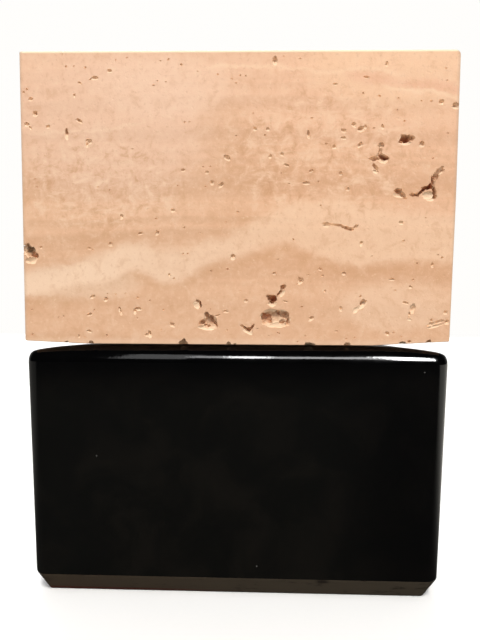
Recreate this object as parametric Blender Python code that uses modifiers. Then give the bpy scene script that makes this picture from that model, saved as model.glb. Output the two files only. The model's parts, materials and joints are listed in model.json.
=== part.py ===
"""Travertine chunk on its black stand.

A block of travertine, sawn on six faces, rests on a lacquered block with a softly crowned top.
Units are metres, +Z is up, and the front faces -Y. The origin is the middle of the stand's footprint.
"""
import math
import random

import bmesh
import bpy
from mathutils import Matrix, Vector, noise

# Driving dimensions of the stone
STONE_WIDTH = 0.120
STONE_DEPTH = 0.040
STONE_HEIGHT = 0.080
ARRIS_WEAR = 0.0005

# Driving dimensions of the stand
STAND_WIDTH = 0.1206
STAND_DEPTH = 0.0415
STAND_HEIGHT = 0.0737
STAND_CORNER_RADIUS = 0.0045
STAND_TURN = math.radians(-0.6)
SIDE_TAPER = 0.00085
TOP_ROLL = 0.0052
TOP_ROLL_REACH = 0.0040
ROLL_RINGS = 5
CORNER_SEGMENTS = 5
END_CROWN_DROP = 0.0021
END_CROWN_LENGTH = 0.021
CROWN_FADE = 3
CROWN_CUTS = (0.18, 0.28, 0.38, 0.50, 0.64, 0.80, 1.0)
FOOT_HEIGHT = 0.0062
FOOT_CHAMFER = 0.0038
FOOT_ARRIS = 0.0004
FOOT_ARRIS_ANGLE = math.radians(28)
SMOOTH_ANGLE = math.radians(35)
REST_GAP = 0.0003

# Where the stone lies on the stand: in the middle, square to the front while the stand is turned a little
STONE_SHIFT = 0.0001
STONE_BOTTOM = STAND_HEIGHT + REST_GAP

# Where the saw ran out: each cut starts that far from the middle of the stone's foot, in x and z,
# and its outward side leans that far round from straight down
RUN_OUTS = [
    (0.038, 0.0, math.radians(3.3)),
    (-0.043, 0.0, math.radians(-2.5)),
    (0.060, 0.040, math.radians(89.25)),
]
CUT_RIM_SIDES = 8

# Pore shape: depth against mouth size, how far the lumps move a wall, and where facets get coarse
PORE_DEPTH_RATIO = 0.65
NOTCH_DEPTH_RATIO = 1.5
LUMP_FREQUENCY = 1.4
LUMP_DRIFT = Vector((1.7, 0.9, 2.3))
PORE_ROUGHNESS = 0.45
VUG_ROUGHNESS = 0.40
FINE_FACETS = 2
COARSE_FACETS = 1
COARSE_PORE = 0.0029

# Large vug low on the front, a shallow bowl with a deep left lobe: x, z, width, height, tilt, depth
WIDE_VUG = [
    (0.0107, 0.0078, 0.0086, 0.0042, 0, 0.0012),
    (0.0083, 0.0075, 0.0036, 0.0033, -10, 0.0023),
    (0.0135, 0.0084, 0.0030, 0.0024, -15, 0.0018),
    (0.0116, 0.0089, 0.0020, 0.0018, 0, 0.0017),
    (0.0126, 0.0066, 0.0024, 0.0018, 0, 0.0015),
    (0.0143, 0.0067, 0.0014, 0.0026, 0, 0.0014),
]
# Vug left of it, a ragged bowl with a slit across it
RAGGED_VUG = [
    (-0.0076, 0.0064, 0.0048, 0.0034, -20, 0.0012),
    (-0.0064, 0.0065, 0.0044, 0.0013, -52, 0.0017),
    (-0.0072, 0.0075, 0.0018, 0.0016, 0, 0.0019),
    (-0.0084, 0.0083, 0.0015, 0.0020, 10, 0.0014),
    (-0.0093, 0.0064, 0.0028, 0.0014, 20, 0.0015),
    (-0.0083, 0.0053, 0.0018, 0.0014, 0, 0.0015),
]
# Pointed vug and the thin crack that runs up from it
POINTED_VUG = [
    (0.0099, 0.0131, 0.0030, 0.0020, 0, 0.0018),
    (0.0104, 0.0129, 0.0018, 0.0020, 0, 0.0032),
    (0.0090, 0.0136, 0.0018, 0.0009, -10, 0.0012),
    (0.0099, 0.0121, 0.0015, 0.0012, 0, 0.0019),
    (0.0117, 0.0143, 0.0018, 0.0007, 50, 0.0013),
    (0.0122, 0.0149, 0.0012, 0.0008, 50, 0.0013),
    (0.0129, 0.0162, 0.0018, 0.0013, 15, 0.0016),
]
# Two small hollows between the vugs, low on the front
SMALL_HOLLOWS = [
    (0.0022, 0.0049, 0.0025, 0.0009, -35, 0.0012),
    (0.0035, 0.0043, 0.0017, 0.0015, 0, 0.0017),
    (0.0044, 0.0050, 0.0019, 0.0009, 55, 0.0014),
    (-0.0109, 0.0122, 0.0013, 0.0008, -20, 0.0010),
    (-0.0102, 0.0113, 0.0008, 0.0019, 10, 0.0015),
    (-0.0109, 0.0112, 0.0025, 0.0023, 0, 0.0004),
]
# Forked crack near the right edge, deepest where it forks
FORKED_CRACK = [
    (0.0553, 0.0479, 0.0030, 0.0020, 35, 0.0010),
    (0.0543, 0.0465, 0.0020, 0.0026, -30, 0.0015),
    (0.0536, 0.0454, 0.0014, 0.0028, -5, 0.0023),
    (0.0531, 0.0439, 0.0019, 0.0020, 0, 0.0040),
    (0.0539, 0.0424, 0.0012, 0.0026, 10, 0.0023),
    (0.0541, 0.0409, 0.0012, 0.0013, 0, 0.0018),
    (0.0517, 0.0433, 0.0026, 0.0012, 12, 0.0026),
    (0.0505, 0.0423, 0.0022, 0.0010, 38, 0.0019),
    (0.0492, 0.0415, 0.0022, 0.0012, 0, 0.0016),
    (0.0480, 0.0414, 0.0017, 0.0011, 0, 0.0011),
    (0.0441, 0.0425, 0.0023, 0.0015, 0, 0.0016),
    (0.0453, 0.0415, 0.0020, 0.0012, -35, 0.0013),
    (0.0460, 0.0406, 0.0014, 0.0007, -35, 0.0008),
]
# Hooked string of pores above it, and the dark lens to its right
HOOKED_PORES = [
    (0.0392, 0.0547, 0.0018, 0.0016, 0, 0.0009),
    (0.0390, 0.0534, 0.0011, 0.0020, 5, 0.0010),
    (0.0389, 0.0522, 0.0014, 0.0018, 0, 0.0013),
    (0.0401, 0.0515, 0.0026, 0.0013, -22, 0.0024),
    (0.0381, 0.0512, 0.0032, 0.0014, 8, 0.0013),
    (0.0368, 0.0510, 0.0018, 0.0012, 0, 0.0009),
    (0.0377, 0.0489, 0.0011, 0.0026, 40, 0.0011),
    (0.0458, 0.0565, 0.0030, 0.0022, 5, 0.0034),
    (0.0472, 0.0566, 0.0020, 0.0015, 0, 0.0016),
    (0.0446, 0.0558, 0.0016, 0.0012, 15, 0.0013),
]
# Open crack across the middle, a broken line of slots
BROKEN_CRACK = [
    (0.0247, 0.0335, 0.0024, 0.0009, -3, 0.0008),
    (0.0264, 0.0333, 0.0018, 0.0006, 0, 0.0005),
    (0.0278, 0.0332, 0.0023, 0.0008, -5, 0.0008),
    (0.0291, 0.0328, 0.0018, 0.0009, -35, 0.0009),
    (0.0302, 0.0324, 0.0022, 0.0011, -15, 0.0011),
    (0.0315, 0.0321, 0.0020, 0.0010, 5, 0.0011),
    (0.0326, 0.0327, 0.0018, 0.0009, 40, 0.0009),
]
# Cavity that opens at the left edge, and the worn groove low on the right
EDGE_CAVITY = [
    (-0.0584, 0.0259, 0.0032, 0.0037, -10, 0.0019),
    (-0.0572, 0.0250, 0.0030, 0.0019, -35, 0.0020),
    (-0.0561, 0.0245, 0.0011, 0.0017, -10, 0.0012),
]
WORN_GROOVE = [
    (0.0543, 0.0062, 0.0020, 0.0012, 10, 0.0007),
    (0.0564, 0.0068, 0.0034, 0.0010, 15, 0.0007),
    (0.0534, 0.0057, 0.0009, 0.0006, 20, 0.0005),
    (0.0489, 0.0103, 0.0015, 0.0030, -8, 0.0007),
]
VUGS = WIDE_VUG + RAGGED_VUG + POINTED_VUG + SMALL_HOLLOWS + FORKED_CRACK
VUGS += HOOKED_PORES + BROKEN_CRACK + EDGE_CAVITY + WORN_GROOVE

# Single pores of the front face, row by row from the top: x, z, width, height, tilt
FRONT_PORES = [
    (0.0100, 0.0774, 0.0013, 0.0019, 0),
    (-0.0351, 0.0746, 0.0014, 0.0008, 0),
    (-0.0392, 0.0728, 0.0020, 0.0008, 0),
    (-0.0570, 0.0672, 0.0013, 0.0009, 0),
    (0.0551, 0.0662, 0.0014, 0.0011, 10),
    (0.0590, 0.0653, 0.0020, 0.0014, 0),
    (-0.0558, 0.0634, 0.0015, 0.0013, 0),
    (-0.0437, 0.0614, 0.0020, 0.0008, -30),
    (-0.0582, 0.0605, 0.0014, 0.0010, 0),
    (0.0316, 0.0603, 0.0014, 0.0010, -30),
    (0.0335, 0.0592, 0.0019, 0.0012, 0),
    (0.0289, 0.0587, 0.0015, 0.0009, -20),
    (-0.0472, 0.0582, 0.0010, 0.0024, 8),
    (0.0193, 0.0579, 0.0008, 0.0019, 15),
    (0.0289, 0.0567, 0.0015, 0.0007, 0),
    (-0.0410, 0.0559, 0.0017, 0.0011, 0),
    (0.0502, 0.0552, 0.0015, 0.0014, 0),
    (0.0335, 0.0550, 0.0017, 0.0010, 30),
    (0.0264, 0.0544, 0.0011, 0.0010, 0),
    (-0.0029, 0.0515, 0.0020, 0.0011, -25),
    (-0.0070, 0.0448, 0.0012, 0.0011, 0),
    (0.0189, 0.0447, 0.0020, 0.0008, 0),
    (-0.0045, 0.0441, 0.0017, 0.0009, 35),
    (-0.0178, 0.0372, 0.0012, 0.0009, 0),
    (-0.0321, 0.0355, 0.0009, 0.0012, 0),
    (0.0451, 0.0340, 0.0014, 0.0008, 0),
    (-0.0222, 0.0311, 0.0012, 0.0010, 30),
    (-0.0269, 0.0309, 0.0015, 0.0007, 10),
    (0.0344, 0.0283, 0.0009, 0.0012, -25),
    (-0.0353, 0.0279, 0.0012, 0.0010, 0),
    (-0.0011, 0.0246, 0.0014, 0.0013, 0),
    (0.0176, 0.0181, 0.0017, 0.0014, 30),
    (-0.0405, 0.0133, 0.0016, 0.0008, 20),
    (-0.0368, 0.0126, 0.0012, 0.0010, 20),
    (0.0352, 0.0124, 0.0012, 0.0011, 0),
    (0.0351, 0.0119, 0.0025, 0.0015, 45),
    (0.0491, 0.0112, 0.0010, 0.0010, 0),
    (0.0290, 0.0104, 0.0009, 0.0012, 30),
    (-0.0278, 0.0100, 0.0023, 0.0008, 0),
    (-0.0329, 0.0099, 0.0008, 0.0013, 25),
    (0.0580, 0.0095, 0.0012, 0.0009, 0),
    (-0.0286, 0.0093, 0.0009, 0.0013, 0),
    (-0.0325, 0.0091, 0.0008, 0.0014, 10),
    (-0.0414, 0.0083, 0.0016, 0.0007, 20),
    (0.0209, 0.0076, 0.0018, 0.0010, 30),
    (0.0585, 0.0069, 0.0012, 0.0012, 0),
    (-0.0181, 0.0056, 0.0016, 0.0010, -20),
    (-0.0415, 0.0036, 0.0014, 0.0008, -15),
    (0.0421, 0.0035, 0.0013, 0.0009, -30),
    (-0.0244, 0.0030, 0.0012, 0.0016, 0),
]

# Notches along the front's bottom arris
ARRIS_NOTCHES = [
    (-0.0480, 0.0002, 0.0012, 0.0010, 0),
    (-0.0412, 0.0002, 0.0016, 0.0010, 0),
    (-0.0150, 0.0002, 0.0028, 0.0016, 0),
    (-0.0148, 0.0009, 0.0012, 0.0013, 0),
    (-0.0022, 0.0001, 0.0013, 0.0012, 0),
    (-0.0004, 0.0000, 0.0010, 0.0007, 0),
    (0.0205, 0.0000, 0.0034, 0.0012, 0),
    (0.0310, 0.0003, 0.0018, 0.0010, 0),
    (0.0464, 0.0005, 0.0026, 0.0012, 0),
    (0.0483, 0.0013, 0.0010, 0.0007, 0),
    (0.0537, 0.0012, 0.0014, 0.0010, 0),
]

# Hidden faces: how many single pores and vugs each has, and the size of their mouths
HIDDEN_PORE_COUNTS = {"back": 42, "left": 13, "right": 13, "top": 16, "bottom": 9}
HIDDEN_VUG_COUNTS = {"back": 2, "left": 1, "right": 1, "top": 1, "bottom": 0}
HIDDEN_PORE_WIDTHS = (0.0009, 0.0019)
HIDDEN_PORE_FLATNESS = (0.45, 0.9)
HIDDEN_LOBE_WIDTHS = (0.0022, 0.0036)
HIDDEN_LOBE_HEIGHTS = (0.0013, 0.0024)
LOBES_IN_A_VUG = 4
LOBE_SPACING = 0.0019
PORE_CLEARANCE = 0.0012
VUG_CLEARANCE = 0.0070
BEDDING_SPREAD = 22
PORE_SEED = 11

# Colours read from the photo, and how matt each surface is
TRAVERTINE_COLOUR = (0.80, 0.56, 0.39, 1.0)
TRAVERTINE_ROUGHNESS = 0.62
LACQUER_COLOUR = (0.006, 0.006, 0.007, 1.0)
LACQUER_ROUGHNESS = 0.08
LACQUER_COAT = 1.0


def clear_scene():
    for found in list(bpy.data.objects):
        bpy.data.objects.remove(found, do_unlink=True)


def new_collection(name):
    collection = bpy.data.collections.new(name)
    bpy.context.scene.collection.children.link(collection)
    return collection


def plain_material(name, colour, roughness, coat=0.0):
    material = bpy.data.materials.new(name)
    material.use_nodes = True
    shader = material.node_tree.nodes["Principled BSDF"]
    shader.inputs["Base Color"].default_value = colour
    shader.inputs["Roughness"].default_value = roughness
    shader.inputs["Metallic"].default_value = 0.0
    shader.inputs["Coat Weight"].default_value = coat
    material.diffuse_color = colour
    return material


def object_from(shape, name, collection, material=None):
    mesh = bpy.data.meshes.new(name)
    shape.to_mesh(mesh)
    shape.free()
    made = bpy.data.objects.new(name, mesh)
    collection.objects.link(made)
    if material is not None:
        mesh.materials.append(material)
    return made


def face_frame(side):
    """Matrix whose X and Y lie in a face of the stone and whose Z points out of it."""
    half_width = STONE_WIDTH / 2
    half_depth = STONE_DEPTH / 2
    middle = STONE_BOTTOM + STONE_HEIGHT / 2
    top = STONE_BOTTOM + STONE_HEIGHT
    frames = {
        "front": ((1, 0, 0), (0, 0, 1), (0, -half_depth, STONE_BOTTOM)),
        "back": ((-1, 0, 0), (0, 0, 1), (0, half_depth, middle)),
        "left": ((0, -1, 0), (0, 0, 1), (-half_width, 0, middle)),
        "right": ((0, 1, 0), (0, 0, 1), (half_width, 0, middle)),
        "top": ((1, 0, 0), (0, 1, 0), (0, 0, top)),
        "bottom": ((1, 0, 0), (0, -1, 0), (0, 0, STONE_BOTTOM)),
    }
    across, up, origin = (Vector(values) for values in frames[side])
    turn = Matrix((across, up, across.cross(up))).transposed().to_4x4()
    shift = Vector((STONE_SHIFT, 0, 0))
    return Matrix.Translation(origin + shift) @ turn


def cut_pore(frame, place, mouth, tilt, depth, roughness, seed, cutters):
    """A lumpy ball half sunk in the face: it leaves one pore or one lobe of a vug."""
    facets = COARSE_FACETS if max(mouth) < COARSE_PORE else FINE_FACETS
    shape = bmesh.new()
    bmesh.ops.create_icosphere(shape, subdivisions=facets, radius=1.0)
    drift = LUMP_DRIFT * seed
    for vertex in shape.verts:
        vertex.co *= 1.0 + roughness * noise.noise(vertex.co * LUMP_FREQUENCY + drift)
    size = Matrix.Diagonal((mouth[0] / 2, mouth[1] / 2, depth, 1.0))
    turn = Matrix.Rotation(math.radians(tilt), 4, "Z")
    sunk = Matrix.Translation((place[0], place[1], 0.0))
    bmesh.ops.transform(shape, matrix=frame @ sunk @ turn @ size, verts=shape.verts)
    cutter = object_from(shape, f"pore_{seed:03d}", cutters)
    cutter.hide_render = True
    cutter.display_type = "WIRE"


def cut_front(cutters):
    """The pores that show in the photo, each where it is."""
    frame = face_frame("front")
    seed = 0
    for x, z, width, height, tilt, depth in VUGS:
        seed += 1
        cut_pore(frame, (x, z), (width, height), tilt, depth, VUG_ROUGHNESS, seed, cutters)
    for pores, ratio in ((FRONT_PORES, PORE_DEPTH_RATIO), (ARRIS_NOTCHES, NOTCH_DEPTH_RATIO)):
        for x, z, width, height, tilt in pores:
            seed += 1
            depth = ratio * math.sqrt(width * height)
            cut_pore(frame, (x, z), (width, height), tilt, depth, PORE_ROUGHNESS, seed, cutters)
    return seed


def face_span(side):
    """How far a face of the stone reaches across and up."""
    across = STONE_DEPTH if side in ("left", "right") else STONE_WIDTH
    up = STONE_DEPTH if side in ("top", "bottom") else STONE_HEIGHT
    return across, up


def random_spot(side, clearance, chance):
    across, up = (span / 2 - clearance for span in face_span(side))
    return Vector((chance.uniform(-across, across), chance.uniform(-up, up)))


def cut_hidden_faces(seed, cutters):
    """The other five faces: single pores, and vugs whose lobes lie in a row along the bedding."""
    chance = random.Random(PORE_SEED)
    for side, count in HIDDEN_PORE_COUNTS.items():
        frame = face_frame(side)
        for _ in range(count):
            seed += 1
            spot = random_spot(side, PORE_CLEARANCE, chance)
            width = chance.uniform(*HIDDEN_PORE_WIDTHS)
            mouth = (width, width * chance.uniform(*HIDDEN_PORE_FLATNESS))
            depth = PORE_DEPTH_RATIO * math.sqrt(mouth[0] * mouth[1])
            tilt = chance.gauss(0, BEDDING_SPREAD)
            cut_pore(frame, spot, mouth, tilt, depth, PORE_ROUGHNESS, seed, cutters)
        for _ in range(HIDDEN_VUG_COUNTS[side]):
            middle = random_spot(side, VUG_CLEARANCE, chance)
            run = math.radians(chance.gauss(0, BEDDING_SPREAD))
            for lobe in range(LOBES_IN_A_VUG):
                seed += 1
                along = (lobe - LOBES_IN_A_VUG / 2) * LOBE_SPACING
                aside = chance.uniform(-0.5, 0.5) * LOBE_SPACING
                spot = middle + Vector((along, aside)) @ Matrix.Rotation(-run, 2)
                mouth = (chance.uniform(*HIDDEN_LOBE_WIDTHS), chance.uniform(*HIDDEN_LOBE_HEIGHTS))
                tilt = math.degrees(run) + chance.gauss(0, BEDDING_SPREAD)
                cut_pore(frame, spot, mouth, tilt, mouth[1], VUG_ROUGHNESS, seed, cutters)


def saw_off(shape, place, outward):
    """One flat cut: what lies on its outward side falls away and the cut is closed."""
    cut = bmesh.ops.bisect_plane(
        shape,
        geom=shape.verts[:] + shape.edges[:] + shape.faces[:],
        plane_co=place,
        plane_no=outward,
        clear_outer=True,
    )
    rim = [found for found in cut["geom_cut"] if isinstance(found, bmesh.types.BMEdge)]
    bmesh.ops.holes_fill(shape, edges=rim, sides=CUT_RIM_SIDES)


def build_stone(parts, cutters):
    """The sawn block, its arrises barely worn, less every pore."""
    foot = Vector((STONE_SHIFT, 0, STONE_BOTTOM))
    shape = bmesh.new()
    bmesh.ops.create_cube(shape, size=1.0)
    size = Matrix.Diagonal((STONE_WIDTH, STONE_DEPTH, STONE_HEIGHT, 1.0))
    lift = Matrix.Translation(foot + Vector((0, 0, STONE_HEIGHT / 2)))
    bmesh.ops.transform(shape, matrix=lift @ size, verts=shape.verts)
    for across, up, lean in RUN_OUTS:
        saw_off(shape, foot + Vector((across, 0, up)), Vector((math.sin(lean), 0, -math.cos(lean))))
    limestone = plain_material("travertine", TRAVERTINE_COLOUR, TRAVERTINE_ROUGHNESS)
    stone = object_from(shape, "travertine_block", parts, limestone)
    wear = stone.modifiers.new("arris wear", "BEVEL")
    wear.width = ARRIS_WEAR
    wear.segments = 1
    wear.limit_method = "ANGLE"
    seed = cut_front(cutters)
    cut_hidden_faces(seed, cutters)
    pores = stone.modifiers.new("pores", "BOOLEAN")
    pores.operation = "DIFFERENCE"
    pores.operand_type = "COLLECTION"
    pores.collection = cutters
    pores.solver = "EXACT"
    return stone


def facing(shape, direction):
    """The one face that looks the given way."""
    return max(shape.faces, key=lambda face: face.normal.dot(Vector(direction)))


def crown_drop(across, share_of_roll):
    """How far the crown sinks at a distance across: most at the top, hardly at the foot of the roll."""
    start = STAND_WIDTH / 2 - END_CROWN_LENGTH
    reach = max(0.0, abs(across) - start) / END_CROWN_LENGTH
    return END_CROWN_DROP * reach * reach * share_of_roll ** CROWN_FADE


def build_stand(parts):
    """A lacquered block: round upright corners, rolled and crowned top, chamfered foot."""
    shoulder = STAND_HEIGHT - TOP_ROLL
    body_height = shoulder - FOOT_HEIGHT
    shape = bmesh.new()
    bmesh.ops.create_cube(shape, size=1.0)
    size = Matrix.Diagonal((STAND_WIDTH, STAND_DEPTH, body_height, 1.0))
    lift = Matrix.Translation((0, 0, FOOT_HEIGHT + body_height / 2))
    bmesh.ops.transform(shape, matrix=lift @ size, verts=shape.verts)
    uprights = [edge for edge in shape.edges if edge.verts[0].co.xy == edge.verts[1].co.xy]
    bmesh.ops.bevel(
        shape,
        geom=uprights,
        offset=STAND_CORNER_RADIUS,
        segments=CORNER_SEGMENTS,
        profile=0.5,
        affect="EDGES",
        material=-1,
    )

    # The roll rises in rings, each one inset from the last along a quarter circle
    for ring in range(ROLL_RINGS):
        low = math.pi / 2 * ring / ROLL_RINGS
        high = math.pi / 2 * (ring + 1) / ROLL_RINGS
        inward = TOP_ROLL_REACH * (math.cos(low) - math.cos(high))
        upward = TOP_ROLL * (math.sin(high) - math.sin(low))
        lid = facing(shape, (0, 0, 1))
        bmesh.ops.inset_region(
            shape, faces=[lid], thickness=inward, depth=upward, use_even_offset=True
        )

    # Cuts across the two ends of the top let it follow the crown
    for share in CROWN_CUTS:
        for end in (-1, 1):
            top = [face for face in shape.faces if face.calc_center_median().z > shoulder]
            around = {edge for face in top for edge in face.edges}
            corners = {vertex for face in top for vertex in face.verts}
            cut_at = end * (STAND_WIDTH / 2 - share * END_CROWN_LENGTH)
            bmesh.ops.bisect_plane(
                shape,
                geom=top + list(around) + list(corners),
                plane_co=(cut_at, 0, 0),
                plane_no=(1, 0, 0),
            )
    for vertex in shape.verts:
        if vertex.co.z > shoulder:
            vertex.co.z -= crown_drop(vertex.co.x, (vertex.co.z - shoulder) / TOP_ROLL)

    # The sides lean in towards the foot, and the foot is chamfered back under them
    for vertex in shape.verts:
        if vertex.co.z < STAND_HEIGHT / 2:
            vertex.co.x -= math.copysign(SIDE_TAPER, vertex.co.x)
            vertex.co.y -= math.copysign(SIDE_TAPER, vertex.co.y)
    base = facing(shape, (0, 0, -1))
    bmesh.ops.inset_region(
        shape, faces=[base], thickness=FOOT_CHAMFER, depth=FOOT_HEIGHT, use_even_offset=True
    )
    lacquer = plain_material("black_lacquer", LACQUER_COLOUR, LACQUER_ROUGHNESS, LACQUER_COAT)
    stand = object_from(shape, "stand", parts, lacquer)
    stand.rotation_euler.z = STAND_TURN
    arris = stand.modifiers.new("foot arris", "BEVEL")
    arris.width = FOOT_ARRIS
    arris.segments = 2
    arris.limit_method = "ANGLE"
    arris.angle_limit = FOOT_ARRIS_ANGLE
    stand.data.shade_smooth()
    stand.data.set_sharp_from_angle(angle=SMOOTH_ANGLE)
    return stand


clear_scene()
part_collection = new_collection("travertine chunk on stand")
cutter_collection = new_collection("pore cutters")
build_stone(part_collection, cutter_collection)
build_stand(part_collection)
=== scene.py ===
import json
import math
import random

import bmesh
import bpy
from mathutils import Matrix, Vector, noise

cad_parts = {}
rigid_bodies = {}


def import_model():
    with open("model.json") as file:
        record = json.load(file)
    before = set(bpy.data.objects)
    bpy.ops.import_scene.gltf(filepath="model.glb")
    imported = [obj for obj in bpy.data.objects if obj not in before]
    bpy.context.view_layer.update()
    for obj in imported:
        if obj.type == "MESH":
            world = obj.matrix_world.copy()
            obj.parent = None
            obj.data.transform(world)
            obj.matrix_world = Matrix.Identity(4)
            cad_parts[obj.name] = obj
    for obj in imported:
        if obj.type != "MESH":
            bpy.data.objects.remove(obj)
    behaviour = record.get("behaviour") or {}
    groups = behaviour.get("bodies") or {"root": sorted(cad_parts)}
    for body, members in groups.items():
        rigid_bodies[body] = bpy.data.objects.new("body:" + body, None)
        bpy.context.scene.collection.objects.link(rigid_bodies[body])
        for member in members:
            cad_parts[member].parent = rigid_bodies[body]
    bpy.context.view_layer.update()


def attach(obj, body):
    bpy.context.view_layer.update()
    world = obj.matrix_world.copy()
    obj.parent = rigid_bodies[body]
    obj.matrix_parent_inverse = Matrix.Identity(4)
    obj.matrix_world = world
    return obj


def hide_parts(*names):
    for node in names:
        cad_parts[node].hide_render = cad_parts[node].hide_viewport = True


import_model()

MM = 0.001

# Travertine stone
# A block sawn on six faces out of bedded hot-spring limestone, 120 x 40 x 80 mm, honed and left unfilled.
# Gas bubbles and rotted stems left its pores open, and the layers run across it in low waves.
# Its size, its shift to the right of the stand's middle and the level of its foot, in millimetres
STONE_WIDTH, STONE_DEPTH, STONE_HEIGHT = 120, 40, 80
STONE_SHIFT = 0.1
STONE_LEVEL = 74
STONE_SIZE = Vector((STONE_WIDTH, STONE_DEPTH, STONE_HEIGHT)) * MM
STONE_FOOT = Vector((STONE_SHIFT, 0, STONE_LEVEL)) * MM
STONE_MIDDLE = Vector((STONE_SHIFT, 0, STONE_LEVEL + STONE_HEIGHT / 2)) * MM
# Widest rounding of an arris, how many facets it has, and each arris's share of it
ARRIS_WEAR = 1.8 * MM
ARRIS_FACETS = 4
TOP_CORNER_WEAR, TOP_FRONT_WEAR, BOTTOM_FRONT_WEAR, OTHER_WEAR = 1.0, 0.44, 0.11, 0.25
# The arrises of the top right corner lie beyond this x and z from the stone's middle
TOP_CORNER_FROM = (50, 30)
# The saw ran out a little at both ends of the underside and low on the right side: x and z where each cut
# starts, and how far its outward side leans round from straight down
RUN_OUTS = [(38, 0, 3.3), (-43, 0, -2.5), (60, 40, 89.25)]
CUT_RIM_SIDES = 8
# An edge that turns less than the first angle is the start of a run-out, and one that turns more than the
# second is shaded sharp
RUN_OUT_TURN, STONE_CREASE = math.radians(30), math.radians(38)

# Lobes of the large openings on the front: x and z from the middle of its bottom edge, width, height,
# tilt and depth, all in millimetres but the tilt
WIDE_VUG = [
    (10.7, 7.8, 8.6, 4.2, 0, 1.2), (8.3, 7.5, 3.6, 3.3, -10, 2.3), (13.5, 8.4, 3.0, 2.4, -15, 1.8),
    (11.6, 8.9, 2.0, 1.8, 0, 1.7), (12.6, 6.6, 2.4, 1.8, 0, 1.5), (14.3, 6.7, 1.4, 2.6, 0, 1.4),
]
RAGGED_VUG = [
    (-7.6, 6.4, 4.8, 3.4, -20, 1.2), (-6.4, 6.5, 4.4, 1.3, -52, 1.7), (-7.2, 7.5, 1.8, 1.6, 0, 1.9),
    (-8.4, 8.3, 1.5, 2.0, 10, 1.4), (-9.3, 6.4, 2.8, 1.4, 20, 1.5), (-8.3, 5.3, 1.8, 1.4, 0, 1.5),
]
POINTED_VUG = [
    (9.9, 13.1, 3.0, 2.0, 0, 1.8), (10.4, 12.9, 1.8, 2.0, 0, 3.2), (9.0, 13.6, 1.8, 0.9, -10, 1.2),
    (9.9, 12.1, 1.5, 1.2, 0, 1.9), (11.7, 14.3, 1.8, 0.7, 50, 1.3), (12.2, 14.9, 1.2, 0.8, 50, 1.3),
    (12.9, 16.2, 1.8, 1.3, 15, 1.6),
]
SMALL_HOLLOWS = [
    (2.2, 4.9, 2.5, 0.9, -35, 1.2), (3.5, 4.3, 1.7, 1.5, 0, 1.7), (4.4, 5.0, 1.9, 0.9, 55, 1.4),
    (-10.9, 12.2, 1.3, 0.8, -20, 1.0), (-10.2, 11.3, 0.8, 1.9, 10, 1.5), (-10.9, 11.2, 2.5, 2.3, 0, 0.4),
]
FORKED_CRACK = [
    (55.3, 47.9, 3.0, 2.0, 35, 1.0), (54.3, 46.5, 2.0, 2.6, -30, 1.5), (53.6, 45.4, 1.4, 2.8, -5, 2.3),
    (53.1, 43.9, 1.9, 2.0, 0, 4.0), (53.9, 42.4, 1.2, 2.6, 10, 2.3), (54.1, 40.9, 1.2, 1.3, 0, 1.8),
    (51.7, 43.3, 2.6, 1.2, 12, 2.6), (50.5, 42.3, 2.2, 1.0, 38, 1.9), (49.2, 41.5, 2.2, 1.2, 0, 1.6),
    (48.0, 41.4, 1.7, 1.1, 0, 1.1), (44.1, 42.5, 2.3, 1.5, 0, 1.6), (45.3, 41.5, 2.0, 1.2, -35, 1.3),
    (46.0, 40.6, 1.4, 0.7, -35, 0.8),
]
HOOKED_PORES = [
    (39.2, 54.7, 1.8, 1.6, 0, 0.9), (39.0, 53.4, 1.1, 2.0, 5, 1.0), (38.9, 52.2, 1.4, 1.8, 0, 1.3),
    (40.1, 51.5, 2.6, 1.3, -22, 2.4), (38.1, 51.2, 3.2, 1.4, 8, 1.3), (36.8, 51.0, 1.8, 1.2, 0, 0.9),
    (37.7, 48.9, 1.1, 2.6, 40, 1.1), (45.8, 56.5, 3.0, 2.2, 5, 3.4), (47.2, 56.6, 2.0, 1.5, 0, 1.6),
    (44.6, 55.8, 1.6, 1.2, 15, 1.3),
]
BROKEN_CRACK = [
    (24.7, 33.5, 2.4, 0.9, -3, 0.8), (26.4, 33.3, 1.8, 0.6, 0, 0.5), (27.8, 33.2, 2.3, 0.8, -5, 0.8),
    (29.1, 32.8, 1.8, 0.9, -35, 0.9), (30.2, 32.4, 2.2, 1.1, -15, 1.1), (31.5, 32.1, 2.0, 1.0, 5, 1.1),
    (32.6, 32.7, 1.8, 0.9, 40, 0.9),
]
EDGE_CAVITY = [
    (-58.4, 25.9, 3.2, 3.7, -10, 1.9), (-57.2, 25.0, 3.0, 1.9, -35, 2.0), (-56.1, 24.5, 1.1, 1.7, -10, 1.2),
]
WORN_GROOVE = [
    (54.3, 6.2, 2.0, 1.2, 10, 0.7), (56.4, 6.8, 3.4, 1.0, 15, 0.7), (53.4, 5.7, 0.9, 0.6, 20, 0.5),
    (48.9, 10.3, 1.5, 3.0, -8, 0.7),
]
VUGS = WIDE_VUG + RAGGED_VUG + POINTED_VUG + SMALL_HOLLOWS + FORKED_CRACK + HOOKED_PORES
VUGS += BROKEN_CRACK + EDGE_CAVITY + WORN_GROOVE
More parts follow.
